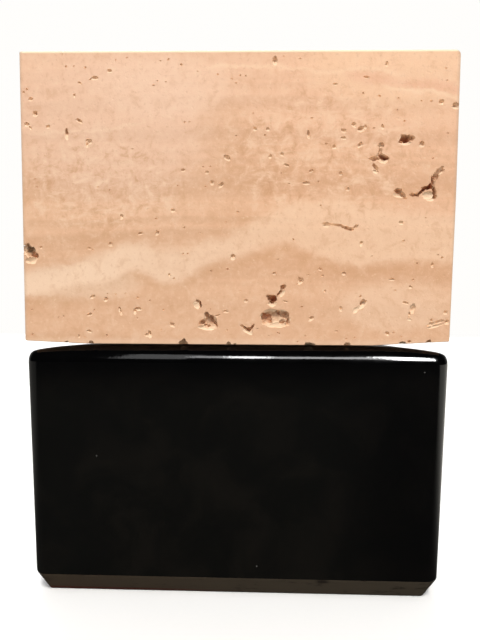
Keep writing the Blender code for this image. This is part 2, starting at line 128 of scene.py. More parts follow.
# Shallow dishes worn into the lower lips of the large openings
LIPS = [
    (11.4, 5.7, 7.2, 1.9, 0, 0.55), (9.9, 11.4, 2.6, 1.6, 0, 0.40), (-8.0, 4.7, 5.6, 1.6, 0, 0.45),
    (3.1, 3.7, 3.4, 1.3, -25, 0.35), (-11.2, 10.4, 1.8, 0.9, -30, 0.25), (12.7, 14.3, 1.2, 2.2, -35, 0.30),
    (39.8, 50.5, 2.8, 1.5, -5, 0.50), (37.9, 47.6, 1.9, 1.0, -20, 0.30), (45.6, 55.2, 3.2, 1.2, 0, 0.38),
    (52.2, 41.3, 3.6, 2.2, 10, 0.60), (44.0, 41.2, 2.8, 1.2, -10, 0.40), (52.9, 40.2, 2.4, 1.2, 0, 0.25),
    (24.7, 32.9, 2.0, 0.7, 0, 0.25), (-57.6, 23.2, 3.6, 2.0, 5, 0.70),
    (55.2, 5.5, 4.8, 0.9, 14, 0.35), (33.4, 10.0, 2.6, 1.4, 45, 0.35), (48.2, 7.3, 1.3, 0.7, 0, 0.25),
]

# Single pores of the front, row by row from the top: x, z, width, height, tilt
FRONT_PORES = [
    (10, 77.4, 1.3, 1.9, 0), (40.1, 76.2, 0.9, 1.1, -30), (-35.1, 74.6, 1.4, 0.8, 0),
    (-39.2, 72.8, 2, 0.8, 0), (34.8, 72.7, 1.6, 0.6, -10), (-43.4, 71.4, 1.1, 0.6, -20),
    (26.4, 70.9, 1.1, 0.6, 0), (-44.9, 68.1, 0.7, 0.9, 0), (-57, 67.2, 1.3, 0.9, 0),
    (55.1, 66.2, 1.4, 1.1, 10), (59, 65.3, 2, 1.4, 0), (-55.8, 63.4, 1.5, 1.3, 0),
    (-43.7, 61.4, 2, 0.8, -30), (-58.2, 60.5, 1.4, 1, 0), (31.6, 60.3, 1.4, 1, -30),
    (-52.3, 59.8, 1.2, 0.8, 0), (39.4, 59.8, 0.8, 1.2, 30), (34.7, 59.7, 0.9, 1, -20),
    (-57.3, 59.5, 1.3, 0.6, -45), (4.7, 59.2, 1, 0.9, 0), (33.5, 59.2, 1.9, 1.2, 0),
    (8.2, 59.1, 1, 0.9, 0), (28.9, 58.7, 1.5, 0.9, -20), (-47.2, 58.2, 1, 2.4, 8),
    (19.3, 57.9, 0.8, 1.9, 15), (28.9, 56.7, 1.5, 0.7, 0), (-41, 55.9, 1.7, 1.1, 0),
    (50.2, 55.2, 1.5, 1.4, 0), (-41.5, 55.1, 0.7, 1.3, -10), (33.5, 55, 1.7, 1, 30),
    (26.4, 54.4, 1.1, 1, 0), (12.1, 52.4, 1.2, 0.8, -25), (9, 51.8, 0.95, 0.95, 0),
    (-2.9, 51.5, 2, 1.1, -25), (13.5, 49.4, 1.6, 0.6, -20), (-15, 48.1, 1.1, 0.8, 0),
    (20.2, 47.9, 1.3, 0.7, 15), (-8.4, 47.5, 1.1, 0.8, 0), (28.3, 47.2, 0.9, 0.9, 0),
    (-7, 44.8, 1.2, 1.1, 0), (18.9, 44.7, 2, 0.8, 0), (-4.5, 44.1, 1.7, 0.9, 35),
    (30.3, 43, 1.03, 0.87, 0), (-17.8, 37.2, 1.2, 0.9, 0), (-32.1, 35.5, 0.9, 1.2, 0),
    (45.1, 34, 1.4, 0.8, 0), (-22.2, 31.1, 1.2, 1, 30), (-26.9, 30.9, 1.5, 0.7, 10),
    (34.4, 28.3, 0.9, 1.2, -25), (-35.3, 27.9, 1.2, 1, 0), (-54.9, 26.9, 0.9, 0.7, 0),
    (-41.3, 26.7, 1.1, 0.6, -15), (-1.1, 24.6, 1.4, 1.3, 0), (54, 22.5, 0.76, 1.14, -15),
    (23.1, 21.2, 1.14, 0.65, -25), (29.7, 20.1, 1.1, 0.9, 0), (10.4, 20, 1.03, 0.76, -10),
    (-18.9, 19.4, 0.7, 0.9, 0), (43, 18.5, 1.4, 0.7, 0), (17.6, 18.1, 1.7, 1.4, 30),
    (48.1, 16.4, 1.2, 0.7, 0), (-40.5, 13.3, 1.6, 0.8, 20), (-36.8, 12.6, 1.2, 1, 20),
    (2.6, 12.4, 1.2, 0.8, 0), (35.2, 12.4, 1.2, 1.1, 0), (13.6, 12.2, 1.4, 0.5, -10),
    (46.8, 12.1, 1.6, 0.6, -10), (35.1, 11.9, 2.5, 1.5, 45), (49.1, 11.2, 1.0, 1.0, 0),
    (29, 10.4, 0.9, 1.2, 30), (-27.8, 10, 2.3, 0.8, 0), (-32.9, 9.9, 0.8, 1.3, 25),
    (58, 9.5, 1.2, 0.9, 0), (-3, 9.4, 1.4, 0.7, 0), (-28.6, 9.3, 0.9, 1.3, 0),
    (-32.5, 9.1, 0.8, 1.4, 10), (48.1, 8.9, 0.6, 1.2, 0), (-41.4, 8.3, 1.6, 0.7, 20),
    (-5.3, 8.2, 1.5, 0.5, 20), (20.9, 7.6, 1.8, 1, 30), (54.2, 7.2, 0.9, 0.8, 0),
    (58.5, 6.9, 1.2, 1.2, 0), (-18.1, 5.6, 1.6, 1, -20), (-41.5, 3.6, 1.4, 0.8, -15),
    (42.1, 3.5, 1.3, 0.9, -30), (-24.4, 3, 1.2, 1.6, 0), (-25.4, 2.6, 0.9, 0.8, 0),
    (-44.5, 2.2, 0.7, 0.9, 0),
]
# Notches along the front's bottom arris
ARRIS_NOTCHES = [
    (-48.0, 0.2, 1.2, 1, 0), (-41.2, 0.2, 1.6, 1, 0), (-15.0, 0.2, 2.8, 1.6, 0), (-14.8, 0.9, 1.2, 1.3, 0),
    (-2.2, 0.1, 1.3, 1.2, 0), (-0.4, 0, 1.0, 0.7, 0), (20.5, 0, 3.4, 1.2, 0), (31, 0.3, 1.8, 1, 0),
    (46.4, 0.5, 2.6, 1.2, 0), (48.3, 1.3, 1.0, 0.7, 0), (53.7, 1.2, 1.4, 1, 0),
]
# Pinholes between them, most of them shallow
PINHOLES = [
    (-48.1, 79, 0.65, 0.46, 0), (12.4, 78.1, 0.54, 0.46, 0), (-30.3, 77.9, 0.54, 0.49, 0),
    (16.8, 77.5, 0.65, 0.49, 0), (-19, 77.4, 0.87, 0.71, 10), (-33.4, 77.3, 0.54, 0.49, 0),
    (-21.2, 77.1, 0.49, 0.43, 0), (-15.5, 76.1, 0.87, 0.71, -10), (-44.9, 75.8, 0.54, 0.49, 0),
    (-47.1, 75.7, 0.7, 0.7, 0), (-41.7, 75.4, 0.8, 0.7, 0), (56.1, 74.9, 0.73, 0.49, 0),
    (-11, 74.3, 0.49, 0.41, 0), (-5.5, 73.5, 0.71, 0.49, 0), (0.6, 73.2, 0.65, 0.54, 0),
    (2.1, 73.1, 0.6, 0.49, 0), (-1.7, 72.3, 0.54, 0.46, 0), (-40.4, 72.3, 1, 0.5, 25),
    (-22, 71.8, 0.6, 0.46, 0), (56.5, 71.7, 0.6, 0.49, 0), (-19.7, 71.5, 0.49, 0.6, 0),
    (-0.5, 71.2, 0.65, 0.46, 0), (-23.1, 70.7, 0.87, 0.49, 0), (-58, 69.7, 0.9, 0.6, -35),
    (-58.9, 68.9, 0.7, 0.8, 0), (34, 68.4, 0.7, 0.8, 0), (38.4, 67.7, 0.9, 0.6, 0),
    (43.5, 67.1, 0.71, 0.49, 0), (49.7, 66.4, 0.65, 0.54, 0), (52.4, 66.3, 0.87, 0.6, 0),
    (43.2, 64, 0.49, 0.49, 0), (4.2, 63.2, 0.54, 0.46, 0), (20.2, 61.9, 1.1, 0.5, 0),
    (45.3, 61.1, 0.98, 0.49, 0), (-14.6, 60.9, 0.65, 0.54, 0), (-13.2, 60.9, 0.71, 0.49, 0),
    (37, 59.2, 1, 0.5, 10), (57.1, 57.9, 0.6, 0.49, 0), (7.5, 57.4, 0.8, 0.7, 0),
    (-0.4, 57.2, 0.54, 0.46, 0), (24.2, 55.1, 0.87, 0.6, 0), (-29, 53.7, 0.71, 0.49, 0),
    (53.3, 51.2, 0.6, 0.49, 0), (-7.5, 49, 0.6, 0.49, 0), (-9.5, 48.9, 0.6, 0.49, 0),
    (12, 47.2, 0.54, 0.46, 0), (-56.2, 45.6, 0.6, 0.43, 0), (22.3, 45, 0.8, 0.5, 0),
    (14.2, 44.3, 0.6, 0.46, 0), (-16.5, 43.8, 0.6, 0.49, 0), (-8.8, 43.6, 0.6, 0.54, 0),
    (-38.7, 43.4, 0.6, 0.6, 0), (-55.7, 43.4, 0.54, 0.54, 0), (-35.4, 42.6, 0.6, 0.54, 0),
    (23, 38.5, 0.6, 0.54, 0), (-24.7, 37.4, 0.71, 0.49, 0), (0.1, 36.7, 0.87, 0.71, 0),
    (51.8, 35.2, 0.54, 0.43, 0), (-22.6, 34.8, 0.71, 0.49, 0), (-3.1, 33.9, 0.6, 0.46, 0),
    (-14.7, 32.4, 0.76, 0.65, 0), (-21.3, 31.8, 0.5, 0.5, 0), (-10.3, 30.9, 0.54, 0.6, 0),
    (15.6, 29.2, 0.71, 0.71, 0), (45.9, 29, 0.87, 0.46, 0), (-40.2, 26.2, 0.6, 0.5, 0),
    (-13.7, 25.3, 0.6, 0.49, 0), (-15, 25.2, 0.6, 0.49, 0), (55.5, 25.2, 0.6, 0.49, 0),
    (37.4, 24.7, 0.54, 0.49, 0), (56.6, 24.4, 0.87, 0.71, -20), (11.5, 23.8, 0.65, 0.6, 0),
    (49.8, 22.8, 0.6, 0.87, -20), (-2.6, 21, 0.87, 0.65, 0), (-7.2, 20.5, 0.76, 0.6, 0),
    (19.9, 19.5, 0.87, 0.76, 0), (23.8, 19.3, 0.82, 0.76, 35), (17.3, 18.8, 0.76, 0.54, 20),
    (-17.6, 18.4, 0.9, 0.6, 0), (48.8, 18.3, 0.87, 0.71, 10), (18.2, 17.6, 0.87, 0.65, 30),
    (16.9, 17.1, 0.71, 0.54, 0), (43.9, 15.4, 0.87, 0.43, 0), (24.6, 15.1, 0.6, 0.98, -15),
    (1, 15, 0.49, 0.49, 0), (-31.3, 14.2, 0.6, 0.43, 0), (-36.3, 14.1, 0.54, 0.43, 0),
    (-34, 13.9, 0.65, 0.43, 0), (34.4, 13.7, 0.87, 0.65, 0), (-27.8, 13, 0.8, 0.7, -30),
    (-24.4, 12.2, 0.6, 0.54, 0), (47.5, 11.7, 0.6, 0.8, -20), (18.2, 10.7, 0.76, 0.76, 0),
    (-7.4, 9.9, 0.6, 0.5, 0), (-20.6, 9.6, 0.5, 0.6, 0), (-57.8, 9.5, 0.6, 0.49, 0),
    (-40.1, 9.4, 0.6, 0.8, 0), (48, 8, 0.9, 0.5, 0), (-48.8, 7.6, 0.54, 0.87, 0),
    (-50.2, 7.4, 0.49, 0.71, 0), (-28, 7.2, 0.7, 0.8, 0), (5.9, 4.5, 0.87, 0.43, 0),
    (-21.2, 4, 0.6, 0.46, 0), (27.9, 4, 0.87, 0.65, 15), (-2.7, 4, 0.8, 0.7, 0), (43.8, 3.8, 1, 0.4, 0),
    (11.8, 3.4, 1, 0.5, -20), (45.9, 2.6, 0.6, 0.49, 0), (19.3, 2.6, 0.6, 0.49, 0),
    (-57.8, 2.5, 0.87, 0.54, -40), (9.1, 2.5, 0.54, 0.43, 0), (-36.6, 2.3, 0.6, 0.8, 0),
    (33, 2.2, 0.6, 0.5, 0), (30.7, 1.9, 0.54, 0.49, 0), (-42.9, 1.8, 0.6, 0.43, 0),
    (17.2, 0.9, 0.71, 0.49, 0),
]
# The five faces that the photograph hides: how many pores, vugs and pinholes each has
HIDDEN_PORES = {"back": 42, "left": 13, "right": 13, "top": 16, "bottom": 9}
HIDDEN_VUGS = {"back": 2, "left": 1, "right": 1, "top": 1, "bottom": 0}
HIDDEN_PINHOLES = {"back": 130, "left": 40, "right": 40, "top": 60, "bottom": 24}
PORE_SEED = 11
PINHOLE_SEED = 23
# How far hollows lean from the bedding, in degrees, and how far they stay from a face's edge
BEDDING_SPREAD = 22
PORE_CLEARANCE, VUG_CLEARANCE, PINHOLE_CLEARANCE = 1.2, 7.0, 0.8
# Narrowest and widest mouths, and their heights as shares of their widths
PORE_WIDTHS, PORE_PROPORTIONS = (0.9, 1.9), (0.45, 0.9)
PINHOLE_WIDTHS, PINHOLE_PROPORTIONS = (0.5, 1.3), (0.5, 1.0)
LOBES_IN_A_VUG = 4
LOBE_SPACING = 1.9
LOBE_WIDTHS, LOBE_HEIGHTS = (2.2, 3.6), (1.3, 2.4)
# Depths as shares of a mouth's mean width, and for a hidden pinhole of its height
PORE_DEPTH = 0.62
HIDDEN_PORE_DEPTH = 0.75
NOTCH_DEPTH = 1.5
DISH_DEPTH = 0.16
HIDDEN_PINHOLE_DEPTH = 0.6
NOTCH_STRETCH = 1.2
# The shallow dish under a pore's mouth: its width, height and drop as shares of the mouth
DISH_WIDTH, DISH_HEIGHT, DISH_DROP = 1.2, 0.9, 0.45
# The balls that cut the hollows: how lumpy each kind is, and how finely it is divided
LARGE_VUG_BALL = (0.40, 4)
VUG_BALL = (0.40, 3)
PORE_BALL = (0.45, 2)
NOTCH_BALL = (0.35, 2)
PINHOLE_BALL = (0.50, 1)
LIP_BALL = (0.30, 3)
DISH_BALL = (0.30, 2)
# Mouths over this many square millimetres are cut by the finest ball
LARGE_MOUTH = 4
# Waves of the lumps over a ball, and the finer lumps of a ball divided three times or more
LUMP_WAVES = 1.4
FINE_LUMPS = ((0.16, 3.6), (0.07, 8.0))


def face_frame(side):
    """Matrix whose X and Y lie in a face of the stone and whose Z points out of it."""
    half = STONE_SIZE / 2
    frames = {
        "front": ((1, 0, 0), (0, 0, 1), (0, -half.y, -half.z)),
        "back": ((-1, 0, 0), (0, 0, 1), (0, half.y, 0)),
        "left": ((0, -1, 0), (0, 0, 1), (-half.x, 0, 0)),
        "right": ((0, 1, 0), (0, 0, 1), (half.x, 0, 0)),
        "top": ((1, 0, 0), (0, 1, 0), (0, 0, half.z)),
        "bottom": ((1, 0, 0), (0, -1, 0), (0, 0, -half.z)),
    }
    across, up, origin = (Vector(part) for part in frames[side])
    turn = Matrix((across, up, across.cross(up))).transposed().to_4x4()
    return Matrix.Translation(STONE_MIDDLE + origin) @ turn


def random_spot(side, clearance, chance):
    """A point on a hidden face, at least that many millimetres from its edges."""
    wide = STONE_SIZE.y if side in ("left", "right") else STONE_SIZE.x
    high = STONE_SIZE.y if side in ("top", "bottom") else STONE_SIZE.z
    across, up = (span / 2 - clearance * MM for span in (wide, high))
    return Vector((chance.uniform(-across, across), chance.uniform(-up, up)))


pore_balls = bpy.data.collections.new("pore balls")
bpy.context.scene.collection.children.link(pore_balls)


def hollow(face, place, mouth, tilt, depth, ball):
    """A lumpy ball half sunk in the face: it leaves one pore, or one lobe of a vug."""
    lumps, divisions = ball
    number = len(pore_balls.objects) + 1
    shape = bmesh.new()
    bmesh.ops.create_icosphere(shape, subdivisions=divisions, radius=1.0)
    drift = Vector((1.7, 0.9, 2.3)) * number
    for vertex in shape.verts:
        swell = lumps * noise.noise(vertex.co * LUMP_WAVES + drift)
        if divisions > 2:
            for share, waves in FINE_LUMPS:
                swell += share * noise.noise(vertex.co * waves + drift)
        vertex.co *= 1.0 + swell
    size = Matrix.Diagonal((mouth[0] / 2, mouth[1] / 2, depth, 1.0))
    turn = Matrix.Rotation(math.radians(tilt), 4, "Z")
    sunk = Matrix.Translation((place[0], place[1], 0.0))
    bmesh.ops.transform(shape, matrix=face_frame(face) @ sunk @ turn @ size, verts=shape.verts)
    mesh = bpy.data.meshes.new(f"pore_{number:03d}")
    shape.to_mesh(mesh)
    shape.free()
    pore_balls.objects.link(bpy.data.objects.new(mesh.name, mesh))


def front_hollow(x, z, width, height, tilt, depth, ball):
    """A hollow in the front, in millimetres from the middle of its bottom edge."""
    hollow("front", (x * MM, z * MM), (width * MM, height * MM), tilt, depth * MM, ball)


def hidden_vug(side, chance):
    """A row of lobes that run together along the bedding."""
    middle = random_spot(side, VUG_CLEARANCE, chance)
    run = math.radians(chance.gauss(0, BEDDING_SPREAD))
    for lobe in range(LOBES_IN_A_VUG):
        along = (lobe - LOBES_IN_A_VUG // 2) * LOBE_SPACING * MM
        aside = chance.uniform(-0.5, 0.5) * LOBE_SPACING * MM
        spot = middle + Vector((along, aside)) @ Matrix.Rotation(-run, 2)
        mouth = (chance.uniform(*LOBE_WIDTHS) * MM, chance.uniform(*LOBE_HEIGHTS) * MM)
        tilt = math.degrees(run) + chance.gauss(0, BEDDING_SPREAD)
        hollow(side, spot, mouth, tilt, mouth[1], VUG_BALL)


# Each ball's lumps follow from its number, so the hollows keep this order
for x, z, width, height, tilt, depth in VUGS:
    ball = LARGE_VUG_BALL if width * height > LARGE_MOUTH else VUG_BALL
    front_hollow(x, z, width, height, tilt, depth, ball)
for x, z, width, height, tilt in FRONT_PORES:
    front_hollow(x, z, width, height, tilt, PORE_DEPTH * math.sqrt(width * height), PORE_BALL)
for x, z, width, height, tilt in ARRIS_NOTCHES:
    depth = NOTCH_DEPTH * math.sqrt(width * height)
    front_hollow(x, z, width, height * NOTCH_STRETCH, tilt, depth, NOTCH_BALL)

chance = random.Random(PORE_SEED)
for side, count in HIDDEN_PORES.items():
    for _ in range(count):
        spot = random_spot(side, PORE_CLEARANCE, chance)
        width = chance.uniform(*PORE_WIDTHS) * MM
        height = width * chance.uniform(*PORE_PROPORTIONS)
        tilt = chance.gauss(0, BEDDING_SPREAD)
        hollow(side, spot, (width, height), tilt, HIDDEN_PORE_DEPTH * math.sqrt(width * height), PORE_BALL)
    for _ in range(HIDDEN_VUGS[side]):
        hidden_vug(side, chance)

for x, z, width, height, tilt in PINHOLES:
    front_hollow(x, z, width, height, tilt, PORE_DEPTH * math.sqrt(width * height), PINHOLE_BALL)
chance = random.Random(PINHOLE_SEED)
for side, count in HIDDEN_PINHOLES.items():
    for _ in range(count):
        spot = random_spot(side, PINHOLE_CLEARANCE, chance)
        width = chance.uniform(*PINHOLE_WIDTHS) * MM
        height = width * chance.uniform(*PINHOLE_PROPORTIONS)
        tilt = chance.gauss(0, BEDDING_SPREAD)
        hollow(side, spot, (width, height), tilt, height * HIDDEN_PINHOLE_DEPTH, PINHOLE_BALL)

for x, z, width, height, tilt, depth in LIPS:
    front_hollow(x, z, width, height, tilt, depth, LIP_BALL)
for x, z, width, height, tilt in FRONT_PORES:
    depth = DISH_DEPTH * math.sqrt(width * height)
    front_hollow(x, z - DISH_DROP * height, width * DISH_WIDTH, height * DISH_HEIGHT, tilt, depth, DISH_BALL)


def place_piece(shape, name):
    """Makes an object of a finished shape, at the origin with its place in its mesh."""
    mesh = bpy.data.meshes.new(name)
    shape.to_mesh(mesh)
    shape.free()
    piece = bpy.data.objects.new(name, mesh)
    bpy.context.scene.collection.objects.link(piece)
    return piece


# The sawn block, with its run-outs cut away
block = bmesh.new()
bmesh.ops.create_cube(block, size=1.0)
sawn = Matrix.Translation(STONE_MIDDLE) @ Matrix.Diagonal((*STONE_SIZE, 1.0))
bmesh.ops.transform(block, matrix=sawn, verts=block.verts)
for across, up, lean in RUN_OUTS:
    lean = math.radians(lean)
    cut = bmesh.ops.bisect_plane(
        block,
        geom=block.verts[:] + block.edges[:] + block.faces[:],
        plane_co=STONE_FOOT + Vector((across, 0, up)) * MM,
        plane_no=(math.sin(lean), 0, -math.cos(lean)),
        clear_outer=True,
    )
    rim = [part for part in cut["geom_cut"] if isinstance(part, bmesh.types.BMEdge)]
    bmesh.ops.holes_fill(block, edges=rim, sides=CUT_RIM_SIDES)

# Wear of each arris: none where a run-out starts, most near the top right corner
wear = block.edges.layers.float.new("bevel_weight_edge")
for edge in block.edges:
    middle = (edge.verts[0].co + edge.verts[1].co) / 2 - STONE_MIDDLE
    level = abs(edge.verts[0].co.x - edge.verts[1].co.x) > MM
    in_front = middle.y < 1 * MM - STONE_SIZE.y / 2
    near_corner = middle.x > TOP_CORNER_FROM[0] * MM and middle.z > TOP_CORNER_FROM[1] * MM
    if edge.calc_face_angle() < RUN_OUT_TURN:
        edge[wear] = 0.0
    elif level and in_front:
        edge[wear] = TOP_FRONT_WEAR if middle.z > 0 else BOTTOM_FRONT_WEAR
    elif near_corner:
        edge[wear] = TOP_CORNER_WEAR
    else:
        edge[wear] = OTHER_WEAR
stone = place_piece(block, "travertine_stone")
worn = stone.modifiers.new("worn arrises", "BEVEL")
worn.width = ARRIS_WEAR
worn.segments = ARRIS_FACETS
worn.limit_method = "WEIGHT"
opened = stone.modifiers.new("open pores", "BOOLEAN")
opened.operation = "DIFFERENCE"
opened.operand_type = "COLLECTION"
opened.collection = pore_balls
opened.solver = "EXACT"
stone.data.shade_smooth()
whole_mesh = stone.data
cut_mesh = bpy.data.meshes.new_from_object(stone.evaluated_get(bpy.context.evaluated_depsgraph_get()))
stone.modifiers.clear()
stone.data = cut_mesh
bpy.data.meshes.remove(whole_mesh)
cut_mesh.name = "travertine_stone"
for cutter in list(pore_balls.objects):
    cutter_mesh = cutter.data
    bpy.data.objects.remove(cutter)
    bpy.data.meshes.remove(cutter_mesh)
bpy.data.collections.remove(pore_balls)
cut_mesh.shade_smooth()
cut_mesh.set_sharp_from_angle(angle=STONE_CREASE)
flats = stone.modifiers.new("flat faces stay flat", "WEIGHTED_NORMAL")
flats.keep_sharp = True
flats.weight = 100


def new_finish(name):
    """An empty material, and the node tree that it is built in."""
    material = bpy.data.materials.new(name)
    material.use_nodes = True
    material.node_tree.nodes.clear()
    return material, material.node_tree


def feed(tree, socket, value):
    """Links a socket into an input, or sets the input to a plain value."""
    if isinstance(value, bpy.types.NodeSocket):
        tree.links.new(value, socket)
    else:
        socket.default_value = value


def add(tree, kind, inputs=None, **settings):
    """A shader node of that kind, with its inputs fed."""
    node = tree.nodes.new("ShaderNode" + kind)
    for name, value in settings.items():
        setattr(node, name, value)
    for name, value in (inputs or {}).items():
        feed(tree, node.inputs[name], value)
    return node


def calc(tree, operation, *values):
    """One Math node over its values."""
    node = tree.nodes.new("ShaderNodeMath")
    node.operation = operation
    for socket, value in zip(node.inputs, values):
        feed(tree, socket, value)
    return node.outputs[0]


def chain(tree, operation, values):
    """Takes any number of values through one operation, two at a time."""
    result = values[0]
    for value in values[1:]:
        result = calc(tree, operation, result, value)
    return result


def times(tree, *values):
    return chain(tree, "MULTIPLY", values)


def plus(tree, *values):
    return chain(tree, "ADD", values)


def minus(tree, *values):
    return chain(tree, "SUBTRACT", values)


def largest(tree, *values):
    return chain(tree, "MAXIMUM", values)


def ramp(tree, value, low, high, start=0.0, end=1.0):
    """Eases from start to end while the value goes from low to high."""
    limits = {"From Min": low, "From Max": high, "To Min": start, "To Max": end}
    node = add(tree, "MapRange", {"Value": value, **limits}, interpolation_type="SMOOTHSTEP")
    return node.outputs["Result"]


def tint(tree, share, under, over, mode="MIX"):
    """Lays that share of one colour over another."""
    node = tree.nodes.new("ShaderNodeMix")
    node.data_type = "RGBA"
    node.blend_type = mode
    for index, value in ((0, share), (6, under), (7, over)):
        if isinstance(value, tuple):
            value = (*value, 1.0)
        feed(tree, node.inputs[index], value)
    return node.outputs[2]


def cloud(tree, place, scale, detail=3.0, rough=0.5, twist=0.0):
    """Soft noise between 0 and 1, with that many waves to a millimetre."""
    values = {"Vector": place, "Scale": scale, "Detail": detail, "Roughness": rough, "Distortion": twist}
    return add(tree, "TexNoise", values).outputs["Fac"]


def millimetres(tree, origin, stretch=(1, 1, 1)):
    """Object coordinates in millimetres from a point of the piece."""
    where = add(tree, "TexCoord").outputs["Object"]
    shift = tuple(-part / MM * factor for part, factor in zip(origin, stretch))
    scale = tuple(factor / MM for factor in stretch)
    return add(tree, "Mapping", {"Vector": where, "Location": shift, "Scale": scale}).outputs[0]


# Colours of the stone, from the body outwards to wear and painted light and shade
PALE_CREAM = (0.930, 0.665, 0.475)
PEACH = (0.860, 0.535, 0.345)
TAN = (0.740, 0.440, 0.270)
ROSE = (0.885, 0.585, 0.430)
PALE_ROSE = (0.930, 0.640, 0.470)
HONEY = (0.960, 0.680, 0.460)
IVORY = (0.960, 0.740, 0.560)
BRICK = (0.840, 0.510, 0.345)
OCHRE = (0.640, 0.345, 0.180)
PAINTED_PORE_SHADE = (0.520, 0.275, 0.150)
PALE_FLECK_AND_GLINT = (0.960, 0.740, 0.520)
PALE_LIP_AND_HIGHLIGHT = (0.980, 0.765, 0.540)
PAINTED_DEEP_SHADE = (0.620, 0.250, 0.120)
PAINTED_CAVITY_SHADE = (0.130, 0.080, 0.040)
PAINTED_ARRIS_HIGHLIGHT = (0.970, 0.840, 0.600)
DARKER_SIDE_ARRIS = (0.560, 0.390, 0.290)
REDDER_SIDE = (1.0, 0.94, 0.88)
PAINTED_TOP_LIGHT = (1.06, 1.06, 1.05)
# Top and foot of the pale bed that sweeps up from the left: x and z of each edge's bends
PALE_BED_TOP = [
    (-60, 17.9), (-47.6, 19.3), (-38.9, 23.1), (-28.3, 26.6), (-21.9, 24.8), (-12.1, 25.8), (0.7, 29.9),
    (5.7, 33.1), (13.7, 37.1), (24, 38.5), (40, 36), (60, 34),
]
PALE_BED_FOOT = [
    (-60, 10.5), (-44.4, 12.7), (-35.9, 14.1), (-29.7, 16.8), (-23.8, 15.2), (-19.1, 13.5), (-8.7, 18.7),
    (1.1, 21.2), (13.9, 24.6), (19.5, 22.3), (32.5, 18.5), (42.3, 19.6), (60, 20.1),
]
# The redder bed near the top right, and three thin pale lines along the beds
RED_BED = [(-60, 70), (30, 70), (45, 68.5), (60, 67)]
TOP_LINE = [
    (-60, 72), (-13.6, 72.3), (2.7, 72.9), (16.4, 72.1), (24.6, 71.0), (34.1, 72.1), (45.1, 70.4), (60, 70),
]
RIGHT_LINE = [(-60, 66), (38.4, 67.4), (43.9, 66.3), (50.7, 66.3), (60, 64.5)]
LEFT_LINE = [(-60, 55.9), (-49.4, 55.4), (-41.1, 55.9), (-34.2, 56.5), (-28.7, 57.6), (60, 58)]
# Every bend but the first and last lies this much further right and up
BEND_SHIFT = (0.4, 0.6)
# How far the beds sink for each millimetre towards the back, and how far they wave and fray up and down
BED_DIP = 0.11
BED_WAVES = 9.0
BED_FRAYS = 3.4
# A vein fades out over this much on either side of each end
VEIN_FADE = 3

travertine, nodes = new_finish("travertine")
place = millimetres(nodes, STONE_FOOT)
flat_place = millimetres(nodes, STONE_FOOT, (0.35, 0.5, 1.0))
x, y, z = add(nodes, "SeparateXYZ", {"Vector": place}).outputs
share_across = calc(nodes, "MULTIPLY_ADD", x, 1 / STONE_WIDTH, 0.5)
bedded = plus(nodes, z, times(nodes, y, BED_DIP))
waves = minus(nodes, cloud(nodes, flat_place, 0.045, 4), 0.5)
frays = minus(nodes, cloud(nodes, place, 0.22, 5, 0.6), 0.5)
waved = plus(nodes, bedded, times(nodes, waves, BED_WAVES))
frayed = plus(nodes, bedded, times(nodes, frays, BED_FRAYS))


def bed_line(points):
    """Height of a bed's edge above the stone's foot, drawn through points from left to right."""
    curve = nodes.nodes.new("ShaderNodeFloatCurve")
    line = curve.mapping.curves[0]
    for end in (0, -1):
        across, up = points[end]
        line.points[end].location = (across / STONE_WIDTH + 0.5, up / STONE_HEIGHT)
    for across, up in points[1:-1]:
        line.points.new((across + BEND_SHIFT[0]) / STONE_WIDTH + 0.5, (up + BEND_SHIFT[1]) / STONE_HEIGHT)
    curve.mapping.update()
    feed(nodes, curve.inputs["Value"], share_across)
    return times(nodes, curve.outputs[0], STONE_HEIGHT)


def patch(centre, radii, edge=0.55):
    """A soft oval, 1 inside and 0 outside, that runs through the stone."""
    wide = calc(nodes, "DIVIDE", minus(nodes, x, centre[0]), radii[0])
    high = calc(nodes, "DIVIDE", minus(nodes, frayed, centre[1]), radii[1])
    squares = plus(nodes, times(nodes, wide, wide), times(nodes, high, high))
    return ramp(nodes, calc(nodes, "SQRT", squares), edge, 1.0, 1.0, 0.0)


def vein(points, start, end, half_width):
    """A thin line along a bed, faded out past its two ends."""
    away = calc(nodes, "ABSOLUTE", minus(nodes, frayed, bed_line(points)))
    line = ramp(nodes, away, 0.0, half_width, 1.0, 0.0)
    after_start = ramp(nodes, x, start - VEIN_FADE, start + VEIN_FADE)
    before_end = ramp(nodes, x, end - VEIN_FADE, end + VEIN_FADE, 1.0, 0.0)
    return times(nodes, line, after_start, before_end)


# Layers: thin tan and peach beds, rosier and lighter towards the top and browner and darker towards the foot:
# partly the stone's own colour, partly a painted fall-off of the light from top to bottom
layers = {"W": times(nodes, waved, 0.13), "Scale": 1.0, "Detail": 3.0}
beds = add(nodes, "TexNoise", layers, noise_dimensions="1D").outputs["Fac"]
colour = tint(nodes, ramp(nodes, beds, 0.35, 0.66), TAN, PEACH)
colour = tint(nodes, ramp(nodes, z, 40, 78, 0.0, 0.45), colour, ROSE)
colour = tint(nodes, ramp(nodes, z, 0, 34, 0.60, 0.0), colour, TAN)

# Soft oval patches: centre, radii, colour and strength
for centre, radii, hue, strength in (
    ((-36, 58), (36, 26), ROSE, 0.45),
    ((-20, 68), (24, 10), PALE_ROSE, 0.45),
    ((-4, 57), (10, 9), OCHRE, 0.22),
    ((4, 47), (14, 10), OCHRE, 0.22),
    ((-1, 32), (10, 5), OCHRE, 0.20),
    ((-38, 27), (12, 5), OCHRE, 0.18),
    ((44, 9), (20, 9), PALE_CREAM, 0.42),
    ((52, 34), (12, 6), ROSE, 0.20),
    ((46, 74), (34, 16), HONEY, 0.38),
    ((-46, 15), (22, 6), IVORY, 0.55),
):
    colour = tint(nodes, times(nodes, patch(centre, radii), strength), colour, hue)

